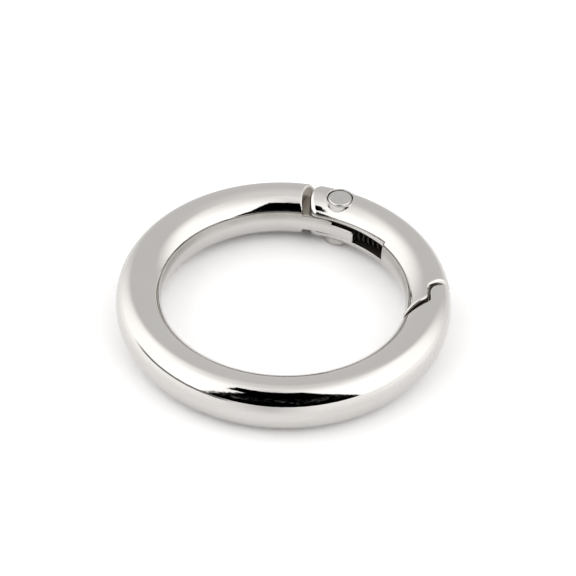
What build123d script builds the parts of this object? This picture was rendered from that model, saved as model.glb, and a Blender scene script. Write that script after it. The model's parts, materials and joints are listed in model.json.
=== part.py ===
from build123d import *
import os
from math import asin, cos, degrees, hypot, radians, sin, sqrt

# A spring gate ring: a C-shaped cast ring closed by a curved gate that swings inward on a rivet.
# Units are millimetres and degrees. The ring lies in the XY plane with its centre at the origin.
# Azimuths run anticlockwise from +X, seen from +Z. The gate closes the ring near azimuth 0.

# Ring section: a flat inner wall, a rounded crown and a rounded outer side
inner_diameter = 24.8
ring_width = 4.7
ring_height = 5.5
inner_wall_height = 2.0
crest_inset = 2.8

# Pivot: a rivet through the gate's cheeks and the ring body's tongue
rivet_azimuth = 67.0
shank_diameter = 1.6
head_diameter = 2.5
head_height = 1.0
head_edge_radius = 0.25
head_proud = 0.04
head_clearance = 0.12
boss_wall = 0.2
boss_below_crest = 0.12
bore_clearance = 0.05
cheek_end_radius = 3.2
shoulder_gap = 0.8

# Slot through the gate, open towards the ring's centre and the pivot end
slot_height = 1.96
gate_back_thickness = 1.1
slot_end_azimuth = 36.6
slot_corner_radius = 0.8
relief_depth = 0.3
relief_start_azimuth = 62.0

# Tongue on the ring body's hinge end, inside the slot
tongue_clearance = 0.05
tongue_step = 0.45
tongue_step_radius = 2.0
tongue_back_clearance = 0.15
tongue_wall = 0.4
tongue_end_azimuth = 55.4
tongue_corner_radius = 0.25
tongue_root_depth = 2.0
opening_angle = 27.0

# Latch: the gate's stepped nose closes inside the ring body's lip
latch_azimuth = -0.4
catch_inset = 2.2
catch_length = 1.75
outer_seam_slope = 32.0
inner_seam_slope = 30.0
outer_seam_gap = 0.42
inner_seam_gap = 0.52
catch_gap = 0.2
nose_corner_radius = 0.3
lip_corner_radius = 0.5

# Rounding of the cast edges at the hinge and round the latch's seam
hinge_edge_radius = 0.3
nose_edge_radius = 0.2
lip_edge_radius = 0.12

# Compression spring between the tongue's end and the slot's end
wire_diameter = 0.28
spring_diameter = 1.4
spring_turns = 6
spring_seat_inset = 1.2
spring_end_gap = 0.02

inner_radius = inner_diameter / 2
outer_radius = inner_radius + ring_width
crest_radius = inner_radius + crest_inset
half_height = ring_height / 2
half_wall = inner_wall_height / 2
half_slot = slot_height / 2
slot_back_radius = outer_radius - gate_back_thickness
tongue_back_radius = slot_back_radius - tongue_back_clearance
bore_radius = shank_diameter / 2 + bore_clearance
rivet_radius = tongue_back_radius - tongue_wall - bore_radius
shoulder_radius = cheek_end_radius + shoulder_gap
boss_top = half_height - boss_below_crest
head_top = boss_top + head_proud
head_seat = head_top - head_height
seat_radius = head_diameter / 2 + head_clearance
boss_radius = seat_radius + boss_wall
tongue_bottom = tongue_clearance - half_slot
root_top = half_slot - tongue_clearance
tongue_top = root_top - tongue_step

# Construction: a length that clears the whole ring, and the distance at which two places are one
beyond = 3 * outer_radius
tolerance = 1e-4


def polar(radius, azimuth):
    """Point in the plan at a radius from the ring's centre and an azimuth."""
    return Vector(radius * cos(radians(azimuth)), radius * sin(radians(azimuth)))


def disc(radius, centre=Vector(0, 0)):
    """Round plan face."""
    return Pos(centre.X, centre.Y) * Circle(radius)


def polygon(*points):
    """Plan face inside straight edges."""
    return make_face(Polyline(*points, close=True))


def sector(low_azimuth, high_azimuth):
    """Plan face between two azimuths less than half a turn apart, wider than the ring."""
    middle = (low_azimuth + high_azimuth) / 2
    return polygon(Vector(0, 0), *(polar(beyond, a) for a in (low_azimuth, middle, high_azimuth)))


def left_side(point, way):
    """Plan face on the left of a line, wider than the ring."""
    near = point - way * beyond
    far = point + way * beyond
    left = turned(way, 90) * beyond
    return polygon(near, far, far + left, near + left)


def prism(face, bottom=-ring_height, top=ring_height):
    """Solid over a plan face, from one height to another, or right through the ring."""
    return Pos(0, 0, bottom) * extrude(face, amount=top - bottom, dir=(0, 0, 1))


def meet(point_a, way_a, point_b, way_b):
    """Point where two plan lines cross."""
    gap = point_b - point_a
    across = way_a.X * way_b.Y - way_a.Y * way_b.X
    return point_a + way_a * ((gap.X * way_b.Y - gap.Y * way_b.X) / across)


def turned(vector, angle):
    """Plan vector turned anticlockwise."""
    return vector.rotate(Axis.Z, angle)


rivet_centre = polar(rivet_radius, rivet_azimuth)


def ring_section():
    """Closed profile of the ring in the XZ plane."""
    inner_span = crest_inset / sqrt(1 - (half_wall / half_height) ** 2)
    crease_angle = degrees(asin(half_wall / half_height))
    centre = (crest_radius, 0)
    outer_side = EllipticalCenterArc(
        centre, ring_width - crest_inset, half_height, start_angle=-90, arc_size=180
    )
    crown = EllipticalCenterArc(
        centre, inner_span, half_height, start_angle=90, arc_size=90 - crease_angle
    )
    keel = EllipticalCenterArc(
        centre, inner_span, half_height, start_angle=180 + crease_angle, arc_size=90 - crease_angle
    )
    wall = Line((inner_radius, half_wall), (inner_radius, -half_wall))
    return Plane.XZ * make_face([outer_side, crown, wall, keel])


def gate_zone(outer_shift, inner_shift, catch_shift, hinge_radius, lip_radius):
    """Plan area of the gate, or with shifts the larger area cut away from the ring body.

    The latch end is a stepped seam of three faces: outer, catch and inner. The shifts move them
    away from the gate. The hinge end is round about the rivet.
    """
    radial = polar(1, latch_azimuth)
    along = turned(radial, -90)
    outer_way = turned(radial, outer_seam_slope)
    inner_way = turned(radial, inner_seam_slope)
    catch_start = radial * (inner_radius + catch_inset)
    outer_point = catch_start + turned(outer_way, -90) * outer_shift
    inner_point = catch_start + along * catch_length + turned(inner_way, -90) * inner_shift
    catch_point = catch_start + radial * catch_shift
    lip = meet(outer_point, outer_way, catch_point, along)
    nose = meet(inner_point, inner_way, catch_point, along)
    face = polygon(
        Vector(0, 0),
        inner_point - inner_way * (inner_radius / 2),
        nose,
        lip,
        outer_point + outer_way * beyond,
        polar(2 * beyond, (rivet_azimuth + latch_azimuth) / 2),
        polar(beyond, rivet_azimuth),
    )
    for corner, radius in ((nose, nose_corner_radius), (lip, lip_radius)):
        face = fillet(face.vertices().sort_by_distance(corner)[0], radius)
    return face + disc(hinge_radius, rivet_centre)


def slot_plan():
    """Plan area of the gate's slot. Its end wall is parallel with the tongue's end at rest."""
    end_point = polar(inner_radius, slot_end_azimuth)
    end_way = polar(1, tongue_end_azimuth)
    face = left_side(end_point, end_way) & disc(slot_back_radius)
    corner = face.vertices().sort_by_distance(polar(slot_back_radius, slot_end_azimuth))[0]
    return fillet(corner, slot_corner_radius)


def relief_plan():
    """Shallow crescent off the gate's inner wall over the slot, deepest at the slot's end."""
    start = polar(inner_radius, relief_start_azimuth)
    end = polar(inner_radius + relief_depth, slot_end_azimuth)
    chord = end - start
    sagitta_way = turned(chord.normalized(), 90)
    centre = (start + end) / 2 - sagitta_way * sqrt(inner_radius**2 - (chord.length / 2) ** 2)
    return disc(inner_radius, centre) & sector(slot_end_azimuth, rivet_azimuth)


def is_upright(edge):
    """Whether an edge is a straight line parallel with the ring's axis."""
    plan_points = [Vector(p.X, p.Y) for p in (edge @ 0, edge @ 0.5, edge @ 1)]
    return all((p - plan_points[0]).length < tolerance for p in plan_points)


def seam_edges(solid, zone):
    """Edges round the ends that a zone cut on the ring, without the upright ones inside a seam."""
    outline = zone.face().outer_wire()
    edges = []
    for edge in solid.edges():
        middle = edge @ 0.5
        on_inner_wall = abs(hypot(middle.X, middle.Y) - inner_radius) < tolerance
        on_outline = outline.distance_to(Vertex(middle.X, middle.Y, 0)) < tolerance
        if on_outline and (on_inner_wall or not is_upright(edge)):
            edges.append(edge)
    return edges


def soften(solid, zone, hinge_radius, latch_radius):
    """Solid with its two ends rounded, the hinge end and the latch end each to its own radius."""
    for at_hinge, radius in ((True, hinge_edge_radius), (False, latch_radius)):
        edges = []
        for edge in seam_edges(solid, zone):
            distance = hypot((edge @ 0.5).X - rivet_centre.X, (edge @ 0.5).Y - rivet_centre.Y)
            if (distance < hinge_radius + tolerance) == at_hinge:
                edges.append(edge)
        solid = fillet(edges, radius)
    return solid


def rivet_hole_tools():
    """Shank hole through both cheeks and a round seat for each head."""
    hole = prism(disc(shank_diameter / 2, rivet_centre))
    seat = disc(seat_radius, rivet_centre)
    return [hole, prism(seat, bottom=head_seat), prism(seat, top=-head_seat)]


def gate_solid(ring):
    """Curved gate with two cheeks about its slot, a flat boss round the rivet and a stepped nose."""
    zone = gate_zone(0, 0, 0, cheek_end_radius, nose_corner_radius)
    gate = soften(ring & prism(zone), zone, cheek_end_radius, nose_edge_radius)
    gate = gate + prism(disc(boss_radius, rivet_centre), -boss_top, boss_top)
    gate = gate - prism(relief_plan()) - prism(slot_plan(), -half_slot, half_slot)
    for tool in rivet_hole_tools():
        gate = gate - tool
    return gate


def tongue_solid():
    """Stepped plate inside the gate's slot, cut back where the gate's back swings over it."""
    root_azimuth = rivet_azimuth + degrees((shoulder_radius + tongue_root_depth) / rivet_radius)
    swung_centre = rivet_centre + turned(Vector(0, 0) - rivet_centre, -opening_angle)
    plan = (disc(tongue_back_radius) - disc(inner_radius)) & sector(tongue_end_azimuth, root_azimuth)
    plan = plan & disc(tongue_back_radius, swung_centre)
    thin = disc(tongue_step_radius, rivet_centre) + sector(slot_end_azimuth, rivet_azimuth)
    tongue = prism(plan, tongue_bottom, tongue_top) + prism(plan - thin, tongue_bottom, root_top)
    end_way = polar(1, tongue_end_azimuth - 90)
    end_face = tongue.faces().sort_by(Axis((0, 0, 0), end_way))[-1]
    tongue = fillet(end_face.edges(), tongue_corner_radius)
    return tongue - prism(disc(bore_radius, rivet_centre))


def body_solid(ring):
    """C-shaped ring body with its catch lip and its tongue."""
    zone = gate_zone(outer_seam_gap, inner_seam_gap, catch_gap, shoulder_radius, lip_corner_radius)
    body = soften(ring - prism(zone), zone, shoulder_radius, lip_edge_radius)
    return body + tongue_solid()


def rivet_solid():
    """Headed rivet: a shank with a flat round head at each end."""
    rivet = Cylinder(shank_diameter / 2, 2 * head_seat)
    for side in (1, -1):
        head = Pos(0, 0, side * (head_seat + head_height / 2)) * Cylinder(head_diameter / 2, head_height)
        rim = head.edges().group_by(Axis.Z)[-1 if side > 0 else 0]
        rivet = rivet + fillet(rim, head_edge_radius)
    return Pos(rivet_centre.X, rivet_centre.Y) * rivet


def spring_solid():
    """Small compression coil, square to the tongue's end and to the slot's end wall."""
    way = polar(1, tongue_end_azimuth - 90)
    seat = polar(inner_radius + spring_seat_inset, tongue_end_azimuth)
    room = polar(inner_radius, slot_end_azimuth).dot(way)
    coil_length = room - 2 * spring_end_gap - wire_diameter
    coil_radius = (spring_diameter - wire_diameter) / 2
    middle_height = (tongue_bottom + tongue_top) / 2
    start = seat + way * (spring_end_gap + wire_diameter / 2) + Vector(0, 0, middle_height)
    coil = Helix(coil_length / spring_turns, coil_length, coil_radius, center=start, direction=way)
    return sweep(Plane(coil @ 0, z_dir=coil % 0) * Circle(wire_diameter / 2), path=coil, is_frenet=True)


def main():
    """Builds every piece and writes one file for each."""
    ring = revolve(ring_section(), Axis.Z)
    pieces = {
        "ring_body": body_solid(ring),
        "gate": gate_solid(ring),
        "pivot_rivet": rivet_solid(),
        "gate_spring": spring_solid(),
    }
    os.makedirs("parts", exist_ok=True)
    for name, piece in pieces.items():
        export_step(piece, f"parts/{name}.step")


main()
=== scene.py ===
import bmesh
import bpy
import json
import numpy as np
from math import atan2, cos, degrees, radians, sin, sqrt
from mathutils import Matrix, Vector


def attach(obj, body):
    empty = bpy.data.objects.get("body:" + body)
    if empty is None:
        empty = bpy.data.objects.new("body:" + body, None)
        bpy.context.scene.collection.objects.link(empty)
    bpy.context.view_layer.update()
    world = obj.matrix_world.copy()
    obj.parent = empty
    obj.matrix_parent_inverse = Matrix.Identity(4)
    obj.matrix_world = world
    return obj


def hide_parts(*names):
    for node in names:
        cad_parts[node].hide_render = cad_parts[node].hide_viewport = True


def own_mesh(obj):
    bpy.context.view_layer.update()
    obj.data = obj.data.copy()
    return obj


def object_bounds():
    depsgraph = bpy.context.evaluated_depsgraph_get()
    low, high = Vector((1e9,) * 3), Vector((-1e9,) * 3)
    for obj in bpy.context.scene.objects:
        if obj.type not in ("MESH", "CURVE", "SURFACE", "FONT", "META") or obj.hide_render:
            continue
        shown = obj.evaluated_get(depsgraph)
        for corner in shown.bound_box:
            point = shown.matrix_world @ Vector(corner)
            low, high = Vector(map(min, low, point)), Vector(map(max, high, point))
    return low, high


# A spring gate ring of bright nickel-plated casting, lying flat on a white table in a light tent.
# The castings and the rivet are remeshed finely from their formulas, because a mirror shows every facet.
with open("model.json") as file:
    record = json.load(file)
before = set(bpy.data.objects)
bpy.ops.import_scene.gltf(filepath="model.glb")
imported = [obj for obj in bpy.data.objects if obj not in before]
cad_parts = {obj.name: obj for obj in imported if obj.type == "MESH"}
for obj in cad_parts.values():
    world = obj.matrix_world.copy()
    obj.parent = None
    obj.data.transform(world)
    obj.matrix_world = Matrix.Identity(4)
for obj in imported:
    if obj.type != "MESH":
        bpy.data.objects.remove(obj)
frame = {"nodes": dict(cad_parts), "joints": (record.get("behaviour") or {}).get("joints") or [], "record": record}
cad_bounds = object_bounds()

MM = 0.001

# ---------------------------------------------------------------- sizes, in millimetres and degrees
floor_height = cad_bounds[0][2]
half_height = -floor_height / MM
outer_radius = -cad_bounds[0][0] / MM
inner_radius = frame["record"]["mounts"][0]["dims"]["r_mm"]
half_wall = frame["record"]["mounts"][0]["dims"]["length_mm"] / 2
crest_inset = 2.8
crest_radius = inner_radius + crest_inset
hinge = frame["joints"][0]
rivet_x = hinge["pos_m"][0] / MM
rivet_y = hinge["pos_m"][1] / MM
rivet_azimuth = degrees(atan2(rivet_y, rivet_x))

cheek_end_radius = 3.2
shoulder_gap = 0.8
shoulder_radius = cheek_end_radius + shoulder_gap
shank_radius = 0.8
bore_clearance = 0.05
bore_radius = shank_radius + bore_clearance
# The rivet's head is a little wider here than in the solids, as the photo shows it.
head_radius = 1.31
head_clearance = 0.06
head_height = 1.0
head_proud = 0.04
seat_radius = head_radius + head_clearance
boss_wall = 0.2
boss_radius = seat_radius + boss_wall
boss_below_crest = 0.12
boss_top = half_height - boss_below_crest
head_top = boss_top + head_proud
head_seat = head_top - head_height

half_slot = 0.98
gate_back_thickness = 1.1
slot_back_radius = outer_radius - gate_back_thickness
slot_end_azimuth = 36.6
slot_corner_radius = 0.8
relief_depth = 0.3
relief_start_azimuth = 62.0

tongue_clearance = 0.05
tongue_step = 0.45
tongue_bottom = tongue_clearance - half_slot
root_top = half_slot - tongue_clearance
tongue_top = root_top - tongue_step
tongue_step_radius = 2.0
tongue_back_clearance = 0.15
tongue_back_radius = slot_back_radius - tongue_back_clearance
tongue_end_azimuth = 55.4
tongue_corner_radius = 0.25
tongue_root_angle = 23.5
opening_angle = hinge["range_deg"][1]

latch_azimuth = -0.4
catch_inset = 2.2
catch_radius = inner_radius + catch_inset
catch_length = 1.75
outer_seam_slope = 32.0
inner_seam_slope = 30.0
# Both gaps are a little wider here than in the solids, as the photo shows them.
outer_seam_gap = 0.5
inner_seam_gap = 0.68
catch_gap = 0.2
nose_corner_radius = 0.3
lip_corner_radius = 0.5

# Edge radii of the fine meshes; some differ from the solids' on purpose, as the photo shows them.
crease_radius = 0.3
cheek_edge_radius = 0.5
shoulder_edge_radius = 0.15
nose_edge_radius = 0.35
lip_edge_radius = 0.12
boss_edge_radius = 0.03
boss_foot_radius = 0.03
slot_edge_radius = 0.1
seat_edge_radius = 0.06
tongue_edge_radius = 0.12
head_edge_radius = 0.25
head_root_radius = 0.05

# Width of the painted shade strip beside the crease, over the crown and down the inner wall
crown_shade_reach = 0.25
wall_shade_reach = 0.9

# Fine meshes
body_voxel = 0.14
gate_voxel = 0.09
rivet_voxel = 0.05
weld_distance = 0.0005
slope_step = 0.002
longest_move = 0.1
least_slope_squared = 0.1
settle_rounds = 4
resettle_rounds = 2
relax_rounds = 4
relax_share = 0.5

# Colours
nickel_light = (0.66, 0.645, 0.63, 1)
nickel_deep = (0.61, 0.595, 0.575, 1)
# Painted shade: the dark strip beside the crease
crease_shade_colour = (0.17, 0.155, 0.125, 1)
# Painted shade in recesses, darker with depth
recess_shade_colour = (0.36, 0.33, 0.29, 1)
rivet_light = (0.64, 0.63, 0.62, 1)
rivet_deep = (0.56, 0.55, 0.54, 1)
# Painted shade: the spring wire nearly black, as the shade inside the slot
wire_shade_deep = (0.035, 0.032, 0.03, 1)
wire_shade_light = (0.07, 0.065, 0.06, 1)
table_light = (0.96, 0.96, 0.965, 1)
table_deep = (0.94, 0.94, 0.945, 1)
tent_tint = (1.0, 0.99, 0.98, 1)
plain_white = (1, 1, 1, 1)

# Surfaces: depths in millimetres, bump heights in metres
# Depths over which recesses fade into painted shade, and their extra roughness
recess_start = 0.06
recess_full = 0.5
recess_roughness = 0.35
# Painted shade beside the crease: its evenness, the noise range of its patches and its extra roughness
crease_shade_evenness = 0.55
crease_shade_patch = (0.3, 0.6)
crease_shade_roughness = 0.15
swell_height = 0.000004
peel_height = 0.000002
rivet_grain_height = 0.0000003
wire_grain_height = 0.000002

# Table: its radius in metres; mirrored rays pass through it beyond its edges, in millimetres
table_radius = 1.2
table_near_edge = 17.5
table_far_edge = 26.0
table_gain = 1.2

# Tent, in degrees. A wide light has a compass direction, a full half-width and an outer half-width.
right_panel = (-27, 32, 72)
left_panel = (188, 15, 78)
front_glow = (-90, 20, 100)
back_light = 0.78
top_light = 0.2
top_start = 50.0
top_full = 80.0
front_light = 0.16
panel_light = 0.85
panel_full = 42.0
panel_top = 85.0
low_light = 0.95
low_panel_light = 0.5
low_panel_bottom = -45.0
low_front_bottom = -35.0
skyline = -8.0
skyline_mark = (-155, 25, 40)
skyline_half_width = 3.0
skyline_dark = 0.85

# Dark stand and its arm; the stand's sides lean with height, from their place at the horizon
edge_shake = 14.0
edge_softness = 1
stand_bottom = -6.0
stand_top = 60.0
stand_left = -135.0
stand_left_lean = 0.5
stand_right = -44.0
stand_right_lean = -0.45
arm_left = -128.0
arm_right = -99.0
arm_bottom = 39.0
fleck_scale = (14.0, 14.0, 70.0)
fleck_cut = (0.62, 0.68)
fleck_rise = (4.0, 8.0)
fleck_fall = (26.0, 20.0)
fleck_light = 0.2

# Camera: distance in metres, angles in degrees, lens in millimetres
camera_distance = 0.2286
camera_elevation = 41.81
camera_roll = -1.48
camera_lens = 140.1
camera_shift_x = 0.00783
camera_shift_y = 0.02043


# ---------------------------------------------------------------- exact shapes, as distance fields
def round_meet(a, b, radius):
    """Field of what is inside both, with their edge rounded."""
    corner = np.hypot(np.maximum(a + radius, 0), np.maximum(b + radius, 0))
    return np.minimum(np.maximum(a, b), -radius) + corner


def round_join(a, b, radius):
    """Field of what is inside either, with their inner corner filled to a radius."""
    corner = np.hypot(np.maximum(radius - a, 0), np.maximum(radius - b, 0))
    return np.maximum(np.minimum(a, b), radius) - corner


def polar(radius, azimuth):
    return Vector((radius * cos(radians(azimuth)), radius * sin(radians(azimuth))))


def turned(way, angle):
    return Matrix.Rotation(radians(angle), 2) @ way


def beside(p, point, way):
    """Distance to the right of a plan line through a point; negative on its left."""
    return (p[0] - point[0]) * way[1] - (p[1] - point[1]) * way[0]


def disc(p, radius, centre=(0, 0)):
    return np.hypot(p[0] - centre[0], p[1] - centre[1]) - radius


def slab(p, low, high):
    return np.maximum(low - p[2], p[2] - high)


def ring_field(p):
    """Full ring: an elliptical crown, keel and outer side, and a flat inner wall."""
    radius = np.hypot(p[0], p[1])
    across = radius - crest_radius
    inner_span = (crest_radius - inner_radius) / sqrt(1 - (half_wall / half_height) ** 2)
    span = np.where(across > 0, outer_radius - crest_radius, inner_span)
    share = np.hypot(across / span, p[2] / half_height)
    slope = np.hypot(across / span**2, p[2] / half_height**2)
    crown = share * (share - 1) / np.maximum(slope, 1e-6)
    return round_meet(crown, inner_radius - radius, crease_radius)


def crease_nearness(p):
    """Mask of the painted shade: 1 on the upper crease, fading fast over the crown and slowly down the inner wall.
    """
    over_crown = (np.hypot(p[0], p[1]) - inner_radius) / crown_shade_reach
    down_wall = np.maximum(half_wall - p[2], 0) / wall_shade_reach
    return np.clip(1 - over_crown, 0, 1) * np.clip(1 - down_wall, 0, 1)


def gate_zone(p, outer_shift, inner_shift, catch_shift, hinge_radius, lip_radius):
    """Plan area of the gate, or with shifts the larger area that the ring body leaves free."""
    radial = polar(1, latch_azimuth)
    along = turned(radial, -90)
    outer_way = turned(radial, outer_seam_slope)
    inner_way = turned(radial, inner_seam_slope)
    catch_start = radial * catch_radius
    outer_point = catch_start + turned(outer_way, -90) * outer_shift
    inner_point = catch_start + along * catch_length + turned(inner_way, -90) * inner_shift
    outer_seam = beside(p, outer_point, outer_way)
    inner_seam = beside(p, inner_point, inner_way)
    catch = -beside(p, catch_start + radial * catch_shift, along)
    latch_end = round_meet(round_join(outer_seam, catch, lip_radius), inner_seam, nose_corner_radius)
    hinge_end = -beside(p, (0, 0), polar(1, rivet_azimuth))
    this_side = -p[0]
    between = np.maximum(np.maximum(latch_end, hinge_end), this_side)
    return np.minimum(between, disc(p, hinge_radius, (rivet_x, rivet_y)))


def slot_field(p):
    """Slot through the gate, open towards the ring's centre and the pivot end."""
    end = beside(p, polar(inner_radius, slot_end_azimuth), polar(1, tongue_end_azimuth))
    plan = round_meet(disc(p, slot_back_radius), end, slot_corner_radius)
    return round_meet(plan, slab(p, -half_slot, half_slot), slot_edge_radius)


def relief_field(p):
    """Shallow crescent off the gate's inner wall over the slot, deepest at the slot's end."""
    start = polar(inner_radius, relief_start_azimuth)
    end = polar(inner_radius + relief_depth, slot_end_azimuth)
    chord = end - start
    way = turned(chord.normalized(), 90)
    centre = (start + end) / 2 - way * sqrt(inner_radius**2 - (chord.length / 2) ** 2)
    return np.maximum(disc(p, inner_radius, centre), beside(p, (0, 0), polar(1, slot_end_azimuth)))


def rivet_room(p):
    """Hole for the shank and a round seat for each head."""
    centre = (rivet_x, rivet_y)
    seats = np.maximum(disc(p, seat_radius, centre), head_seat - np.abs(p[2]))
    return np.minimum(disc(p, shank_radius, centre), seats)


def by_end(p, hinge_value, latch_value):
    """One value at the hinge end of a casting and another at its latch end."""
    return np.where(p[1] > rivet_y / 2, hinge_value, latch_value)


def gate_field(p):
    zone = gate_zone(p, 0, 0, 0, cheek_end_radius, nose_corner_radius)
    gate = round_meet(ring_field(p), zone, by_end(p, cheek_edge_radius, nose_edge_radius))
    side = np.abs(p[2])
    boss = round_meet(disc(p, boss_radius, (rivet_x, rivet_y)), side - boss_top, boss_edge_radius)
    gate = round_join(gate, boss, boss_foot_radius)
    gate = round_meet(gate, -relief_field(p), crease_radius)
    gate = round_meet(gate, -slot_field(p), slot_edge_radius)
    return round_meet(gate, -rivet_room(p), seat_edge_radius)


def tongue_field(p):
    """Stepped plate inside the gate's slot, rounded at its end and bored for the rivet."""
    centre = Vector((rivet_x, rivet_y))
    swung_centre = centre + turned(-centre, -opening_angle)
    back = np.maximum(disc(p, tongue_back_radius), disc(p, tongue_back_radius, swung_centre))
    root = -beside(p, (0, 0), polar(1, rivet_azimuth + tongue_root_angle))
    plan = np.maximum(np.maximum(back, -disc(p, inner_radius)), root)
    end = beside(p, polar(inner_radius, tongue_end_azimuth), polar(1, tongue_end_azimuth))
    past_rivet = -beside(p, (0, 0), polar(1, rivet_azimuth))
    thin = np.minimum(disc(p, tongue_step_radius, centre), past_rivet)
    upper = round_meet(p[2] - root_top, -thin, tongue_edge_radius)
    height = np.maximum(tongue_bottom - p[2], np.minimum(p[2] - tongue_top, upper))
    plate = round_meet(plan, height, tongue_edge_radius)
    plate = round_meet(plate, end, tongue_corner_radius)
    return np.maximum(np.maximum(plate, -disc(p, bore_radius, centre)), ring_field(p))


def body_field(p):
    zone = gate_zone(p, outer_seam_gap, inner_seam_gap, catch_gap, shoulder_radius, lip_corner_radius)
    body = round_meet(ring_field(p), -zone, by_end(p, shoulder_edge_radius, lip_edge_radius))
    return np.minimum(body, tongue_field(p))


def rivet_field(p):
    """Shank through both castings, with a flat head at each end."""
    centre = (rivet_x, rivet_y)
    side = np.abs(p[2])
    barrel = round_meet(disc(p, head_radius, centre), side - head_top, head_edge_radius)
    heads = np.maximum(barrel, head_seat - side)
    shank = np.maximum(disc(p, shank_radius, centre), side - boss_top)
    return round_join(heads, shank, head_root_radius)


# ---------------------------------------------------------------- meshes
def gradient(field, points):
    """Slope of a field at points, as an array of three columns."""
    slope = np.empty_like(points)
    for axis in range(3):
        step = np.zeros(3)
        step[axis] = slope_step
        slope[:, axis] = (field((points + step).T) - field((points - step).T)) / (2 * slope_step)
    return slope


def settled(field, points, rounds):
    """Points moved onto the surface where a field is zero."""
    for _ in range(rounds):
        slope = gradient(field, points)
        size = np.maximum((slope**2).sum(1), least_slope_squared)
        move = np.clip(field(points.T) / size, -longest_move, longest_move)
        points = points - slope * move[:, None]
    return points


def relaxed(points, edges):
    """Points moved part of the way to the middle of their neighbours."""
    count = np.bincount(edges.ravel(), minlength=len(points))
    middle = np.empty_like(points)
    for axis in range(3):
        value = points[:, axis]
        total = np.bincount(edges[:, 0], value[edges[:, 1]], len(points))
        total += np.bincount(edges[:, 1], value[edges[:, 0]], len(points))
        middle[:, axis] = total / np.maximum(count, 1)
    return points + (middle - points) * relax_share


def fine_piece(name, node, field, voxel, body, material):
    """Fine mesh of a CAD node: evenly remeshed, then settled on its exact shape with true normals."""
    mesh = frame["nodes"][node].data.copy()
    mesh.transform(Matrix.Scale(1 / MM, 4))
    rough = bmesh.new()
    rough.from_mesh(mesh)
    bmesh.ops.remove_doubles(rough, verts=rough.verts, dist=weld_distance)
    rough.to_mesh(mesh)
    rough.free()
    helper = bpy.data.objects.new("helper", mesh)
    bpy.context.scene.collection.objects.link(helper)
    remesh = helper.modifiers.new("remesh", "REMESH")
    remesh.mode = "VOXEL"
    remesh.voxel_size = voxel
    depsgraph = bpy.context.evaluated_depsgraph_get()
    fine = bpy.data.meshes.new_from_object(helper.evaluated_get(depsgraph))
    bpy.data.objects.remove(helper)
    bpy.data.meshes.remove(mesh)

    points = np.empty(len(fine.vertices) * 3)
    fine.vertices.foreach_get("co", points)
    points = points.reshape(-1, 3)
    edges = np.empty(len(fine.edges) * 2, int)
    fine.edges.foreach_get("vertices", edges)
    edges = edges.reshape(-1, 2)
    points = settled(field, points, settle_rounds)
    for _ in range(relax_rounds):
        points = settled(field, relaxed(points, edges), resettle_rounds)
    normals = gradient(field, points)
    normals /= np.linalg.norm(normals, axis=1)[:, None]

    # Mask of the painted shade beside the crease, kept on the points
    tarnish = fine.attributes.new("tarnish", "FLOAT", "POINT")
    tarnish.data.foreach_set("value", crease_nearness(points.T))
    # Depth into the recesses, which the material darkens with painted shade
    depth = fine.attributes.new("depth", "FLOAT", "POINT")
    depth.data.foreach_set("value", np.maximum(-ring_field(points.T), 0))
    fine.vertices.foreach_set("co", (points * MM).ravel())
    fine.polygons.foreach_set("use_smooth", [True] * len(fine.polygons))
    fine.update()
    fine.normals_split_custom_set_from_vertices(normals)
    fine.materials.clear()
    fine.materials.append(material)
    piece = bpy.data.objects.new(name, fine)
    bpy.context.scene.collection.objects.link(piece)
    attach(piece, body)
    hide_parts(node)


def squashed_spring(material):
    """Copy of the CAD spring, carried with the gate."""
    mesh = frame["nodes"]["gate_spring"].data.copy()
    mesh.materials.clear()
    mesh.materials.append(material)
    piece = bpy.data.objects.new("spring_coil", mesh)
    bpy.context.scene.collection.objects.link(piece)
    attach(piece, "gate")
    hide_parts("gate_spring")
    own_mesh(piece)


# ---------------------------------------------------------------- shader helpers
def put(tree, kind, settings=(), **inputs):
    """Adds a node. Inputs are given by name, with _ for a space, as values or as sockets to link."""
    node = tree.nodes.new(kind)
    for name, value in dict(settings).items():
        setattr(node, name, value)
    for name, value in inputs.items():
        key = int(name[1:]) if name[0] == "i" and name[1:].isdigit() else name.replace("_", " ")
        if isinstance(value, bpy.types.NodeSocket):
            tree.links.new(value, node.inputs[key])
        else:
            node.inputs[key].default_value = value
    return node


def calc(tree, operation, *values):
    """Result of a math node."""
    inputs = {f"i{n}": value for n, value in enumerate(values)}
    return put(tree, "ShaderNodeMath", {"operation": operation}, **inputs).outputs[0]


def fade(tree, value, start, end):
    """0 before start, 1 after end and smooth between them; start may be the larger one."""
    low, high = min(start, end), max(start, end)
    node = put(tree, "ShaderNodeMapRange", {"interpolation_type": "SMOOTHSTEP"},
               Value=value, From_Min=low, From_Max=high,
               To_Min=float(start > end), To_Max=float(start <= end))
    return node.outputs[0]


def blank(material):
    """Node tree of a material or world with nothing in it but its output."""
    material.use_nodes = True
    tree = material.node_tree
    tree.nodes.clear()
    kind = "ShaderNodeOutputWorld" if isinstance(material, bpy.types.World) else "ShaderNodeOutputMaterial"
    return tree, tree.nodes.new(kind)


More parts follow.
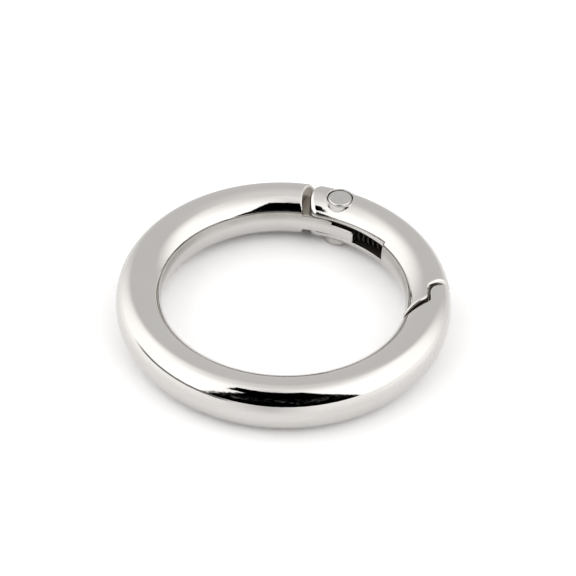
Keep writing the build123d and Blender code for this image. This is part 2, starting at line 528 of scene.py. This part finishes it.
# ---------------------------------------------------------------- materials
def nickel_plate():
    """Bright nickel on a casting: nearly a mirror, rougher in recesses and beside the crease, where painted shade
    darkens it.
    """
    material = bpy.data.materials.new("nickel_plate")
    tree, output = blank(material)
    place = put(tree, "ShaderNodeTexCoord").outputs["Object"]
    swell = put(tree, "ShaderNodeTexNoise", Vector=place, Scale=420.0, Detail=2.0, Roughness=0.5)
    peel = put(tree, "ShaderNodeTexNoise", Vector=place, Scale=2400.0, Detail=3.0, Roughness=0.55)
    haze = put(tree, "ShaderNodeTexNoise", Vector=place, Scale=150.0, Detail=4.0, Roughness=0.6)
    tone = put(tree, "ShaderNodeMix", {"data_type": "RGBA"}, Factor=haze.outputs["Fac"])
    tone.inputs[6].default_value = nickel_light
    tone.inputs[7].default_value = nickel_deep
    depth = put(tree, "ShaderNodeAttribute", {"attribute_name": "depth"}).outputs["Fac"]
    # Painted shade in recesses, growing with depth
    recess = fade(tree, depth, recess_start, recess_full)
    recess_shaded = put(tree, "ShaderNodeMix", {"data_type": "RGBA"}, Factor=recess)
    # Painted shade beside the crease, in patches, and rougher there
    patchy = fade(tree, haze.outputs["Fac"], *crease_shade_patch)
    crease_shade_mask = put(tree, "ShaderNodeAttribute", {"attribute_name": "tarnish"}).outputs["Fac"]
    cover = calc(tree, "ADD", crease_shade_evenness, calc(tree, "MULTIPLY", patchy, 1 - crease_shade_evenness))
    crease_shade_mask = calc(tree, "MULTIPLY", crease_shade_mask, cover)
    crease_shaded = put(tree, "ShaderNodeMix", {"data_type": "RGBA"}, Factor=crease_shade_mask)
    tree.links.new(tone.outputs[2], crease_shaded.inputs[6])
    crease_shaded.inputs[7].default_value = crease_shade_colour
    tree.links.new(crease_shaded.outputs[2], recess_shaded.inputs[6])
    recess_shaded.inputs[7].default_value = recess_shade_colour
    polish = put(tree, "ShaderNodeMapRange", Value=haze.outputs["Fac"], From_Min=0.3, From_Max=0.7,
                 To_Min=0.03, To_Max=0.07).outputs[0]
    rough = calc(tree, "ADD", polish, calc(tree, "MULTIPLY", recess, recess_roughness))
    rough = calc(tree, "ADD", rough, calc(tree, "MULTIPLY", crease_shade_mask, crease_shade_roughness))
    waves = put(tree, "ShaderNodeBump", Strength=1.0, Distance=swell_height, Height=swell.outputs["Fac"])
    grain = put(tree, "ShaderNodeBump", Strength=1.0, Distance=peel_height, Height=peel.outputs["Fac"],
                Normal=waves.outputs[0])
    surface = put(tree, "ShaderNodeBsdfPrincipled", Base_Color=recess_shaded.outputs[2], Metallic=1.0,
                  Roughness=rough, Normal=grain.outputs[0])
    tree.links.new(surface.outputs[0], output.inputs["Surface"])
    return material


def rivet_metal():
    """Plated rivet whose head was dressed flat: duller, with a fine random grain."""
    material = bpy.data.materials.new("rivet_metal")
    tree, output = blank(material)
    place = put(tree, "ShaderNodeTexCoord").outputs["Object"]
    grain = put(tree, "ShaderNodeTexNoise", Vector=place, Scale=9000.0, Detail=3.0, Roughness=0.6)
    cloud = put(tree, "ShaderNodeTexNoise", Vector=place, Scale=900.0, Detail=3.0, Roughness=0.6)
    tone = put(tree, "ShaderNodeMix", {"data_type": "RGBA"}, Factor=cloud.outputs["Fac"])
    tone.inputs[6].default_value = rivet_light
    tone.inputs[7].default_value = rivet_deep
    rough = put(tree, "ShaderNodeMapRange", Value=cloud.outputs["Fac"], To_Min=0.1, To_Max=0.18)
    bump = put(tree, "ShaderNodeBump", Strength=1.0, Distance=rivet_grain_height,
               Height=grain.outputs["Fac"])
    surface = put(tree, "ShaderNodeBsdfPrincipled", Base_Color=tone.outputs[2], Metallic=1.0,
                  Roughness=rough.outputs[0], Normal=bump.outputs[0])
    tree.links.new(surface.outputs[0], output.inputs["Surface"])
    return material


def spring_wire_metal():
    """Drawn spring wire, painted nearly black for the shade inside the gate's slot."""
    material = bpy.data.materials.new("spring_wire")
    tree, output = blank(material)
    place = put(tree, "ShaderNodeTexCoord").outputs["Object"]
    streak = put(tree, "ShaderNodeTexNoise", Vector=place, Scale=5000.0, Detail=4.0, Roughness=0.6)
    tone = put(tree, "ShaderNodeMix", {"data_type": "RGBA"}, Factor=streak.outputs["Fac"])
    tone.inputs[6].default_value = wire_shade_deep
    tone.inputs[7].default_value = wire_shade_light
    rough = put(tree, "ShaderNodeMapRange", Value=streak.outputs["Fac"], To_Min=0.4, To_Max=0.6)
    bump = put(tree, "ShaderNodeBump", Strength=1.0, Distance=wire_grain_height,
               Height=streak.outputs["Fac"])
    surface = put(tree, "ShaderNodeBsdfPrincipled", Base_Color=tone.outputs[2], Metallic=1.0,
                  Roughness=rough.outputs[0], Normal=bump.outputs[0])
    tree.links.new(surface.outputs[0], output.inputs["Surface"])
    return material


def table_white():
    """White table, brighter to the camera and in mirrors. Far from the ring, mirrored rays pass through."""
    material = bpy.data.materials.new("table_white")
    tree, output = blank(material)
    place = put(tree, "ShaderNodeTexCoord").outputs["Object"]
    speck = put(tree, "ShaderNodeTexNoise", Vector=place, Scale=60.0, Detail=3.0)
    tone = put(tree, "ShaderNodeMix", {"data_type": "RGBA"}, Factor=speck.outputs["Fac"])
    tone.inputs[6].default_value = table_light
    tone.inputs[7].default_value = table_deep
    path = put(tree, "ShaderNodeLightPath")
    seen = calc(tree, "MAXIMUM", path.outputs["Is Camera Ray"], path.outputs["Is Glossy Ray"])
    gain = calc(tree, "ADD", 1.0, calc(tree, "MULTIPLY", seen, table_gain - 1))
    white = put(tree, "ShaderNodeVectorMath", {"operation": "SCALE"}, i0=tone.outputs[2], Scale=gain)
    lit = put(tree, "ShaderNodeBsdfDiffuse", Color=white.outputs["Vector"])
    distance = put(tree, "ShaderNodeVectorMath", {"operation": "LENGTH"}, i0=place).outputs["Value"]
    beyond = fade(tree, distance, table_near_edge * MM, table_far_edge * MM)
    through = calc(tree, "MULTIPLY", beyond, path.outputs["Is Glossy Ray"])
    clear = put(tree, "ShaderNodeBsdfTransparent")
    mix = put(tree, "ShaderNodeMixShader", i0=through, i1=lit.outputs[0], i2=clear.outputs[0])
    tree.links.new(mix.outputs[0], output.inputs["Surface"])
    return material


# ---------------------------------------------------------------- light tent
def tent():
    """Light tent as the world: two bright panels and a dark stand in front. The camera sees plain white."""
    world = bpy.data.worlds.new("tent")
    bpy.context.scene.world = world
    tree, output = blank(world)
    way = put(tree, "ShaderNodeTexCoord").outputs["Generated"]
    x, y, z = put(tree, "ShaderNodeSeparateXYZ", Vector=way).outputs
    elevation = calc(tree, "DEGREES", calc(tree, "ARCSINE", z))
    azimuth = calc(tree, "DEGREES", calc(tree, "ARCTAN2", y, x))
    flat = calc(tree, "SQRT", calc(tree, "ADD", calc(tree, "MULTIPLY", x, x), calc(tree, "MULTIPLY", y, y)))

    def towards(centre, full, none):
        """1 within an angle of a compass direction, 0 past a wider one."""
        east = calc(tree, "MULTIPLY", x, cos(radians(centre)))
        north = calc(tree, "MULTIPLY", y, sin(radians(centre)))
        facing = calc(tree, "DIVIDE", calc(tree, "ADD", east, north), flat)
        return fade(tree, facing, cos(radians(none)), cos(radians(full)))

    def above(value, edge):
        """1 above an edge and 0 below it, softened by a degree on both sides."""
        return fade(tree, value, edge - edge_softness, edge + edge_softness)

    def below(value, edge):
        return fade(tree, value, edge + edge_softness, edge - edge_softness)

    def times(value, factor):
        return calc(tree, "MULTIPLY", value, factor)

    def plus(*values):
        total = values[0]
        for value in values[1:]:
            total = calc(tree, "ADD", total, value)
        return total

    panels = plus(towards(*right_panel), towards(*left_panel))
    front = towards(*front_glow)
    high = plus(times(times(panels, fade(tree, elevation, panel_top, panel_full)), panel_light),
                times(fade(tree, elevation, top_start, top_full), top_light),
                times(front, front_light), back_light)
    low = plus(times(times(panels, fade(tree, elevation, low_panel_bottom, skyline)), low_panel_light),
               times(times(front, fade(tree, elevation, low_front_bottom, skyline)), -front_light),
               low_light)
    upper = fade(tree, elevation, skyline - 1, skyline + 2)
    light = plus(times(high, upper), times(low, calc(tree, "SUBTRACT", 1.0, upper)))

    ragged = put(tree, "ShaderNodeTexNoise", Vector=way, Scale=24.0, Detail=5.0, Roughness=0.7)
    shake = times(calc(tree, "SUBTRACT", ragged.outputs["Fac"], 0.5), edge_shake)
    side = plus(azimuth, shake)
    level = calc(tree, "SUBTRACT", elevation, shake)
    left_edge = plus(times(level, stand_left_lean), stand_left)
    right_edge = plus(times(level, stand_right_lean), stand_right)
    past_left = calc(tree, "SUBTRACT", side, left_edge)
    short_of_right = calc(tree, "SUBTRACT", right_edge, side)
    stand = times(above(past_left, 0), above(short_of_right, 0))
    arm = times(times(above(side, arm_left), below(side, arm_right)), above(level, arm_bottom))
    within = times(below(level, stand_top), above(elevation, stand_bottom))
    fleck_way = put(tree, "ShaderNodeVectorMath", {"operation": "MULTIPLY"}, i0=way, i1=fleck_scale)
    flecks = put(tree, "ShaderNodeTexNoise", Vector=fleck_way.outputs["Vector"], Scale=1.0, Detail=2.0)
    fleck_height = times(fade(tree, level, *fleck_rise), fade(tree, level, *fleck_fall))
    fleck = times(fade(tree, flecks.outputs["Fac"], *fleck_cut), fleck_height)
    dark = times(calc(tree, "MAXIMUM", stand, arm), within)
    dark = times(dark, calc(tree, "SUBTRACT", 1.0, times(fleck, fleck_light)))

    line_height = plus(elevation, -skyline)
    line = times(above(line_height, -skyline_half_width), below(line_height, skyline_half_width))
    line = times(times(line, towards(*skyline_mark)), skyline_dark)
    shade = calc(tree, "SUBTRACT", 1.0, calc(tree, "MAXIMUM", dark, line))
    glow = times(light, shade)

    path = put(tree, "ShaderNodeLightPath")
    tint = put(tree, "ShaderNodeBackground", Color=tent_tint, Strength=glow)
    plain = put(tree, "ShaderNodeBackground", Color=plain_white, Strength=1.0)
    mix = put(tree, "ShaderNodeMixShader", i0=path.outputs["Is Camera Ray"], i1=tint.outputs[0],
              i2=plain.outputs[0])
    tree.links.new(mix.outputs[0], output.inputs["Surface"])


def table():
    """Round white table top under the ring."""
    mesh = bpy.data.meshes.new("table")
    shape = bmesh.new()
    bmesh.ops.create_circle(shape, cap_ends=True, segments=96, radius=table_radius)
    shape.to_mesh(mesh)
    shape.free()
    mesh.materials.append(table_white())
    top = bpy.data.objects.new("table", mesh)
    top.location.z = floor_height
    bpy.context.scene.collection.objects.link(top)


def camera():
    """Camera above the front of the ring, framed a little off its centre."""
    data = bpy.data.cameras.new("camera")
    data.lens = camera_lens
    data.sensor_width = 36.0
    data.shift_x = camera_shift_x
    data.shift_y = camera_shift_y
    data.clip_start = 0.01
    data.clip_end = 10.0
    up_tilt = radians(camera_elevation)
    back = Vector((0, -cos(up_tilt), sin(up_tilt)))
    level_up = Vector((0, sin(up_tilt), cos(up_tilt)))
    level_right = Vector((1, 0, 0))
    roll = radians(camera_roll)
    right = level_right * cos(roll) - level_up * sin(roll)
    up = level_right * sin(roll) + level_up * cos(roll)
    view = bpy.data.objects.new("camera", data)
    turn = Matrix((right, up, back)).transposed().to_4x4()
    view.matrix_world = Matrix.Translation(back * camera_distance) @ turn
    bpy.context.scene.collection.objects.link(view)
    bpy.context.scene.camera = view


nickel = nickel_plate()
fine_piece("ring_body_skin", "ring_body", body_field, body_voxel, "ring", nickel)
fine_piece("gate_skin", "gate", gate_field, gate_voxel, "gate", nickel)
fine_piece("rivet_skin", "pivot_rivet", rivet_field, rivet_voxel, "gate", rivet_metal())
squashed_spring(spring_wire_metal())
table()
tent()
camera()

bpy.context.scene.view_settings.view_transform = "Standard"
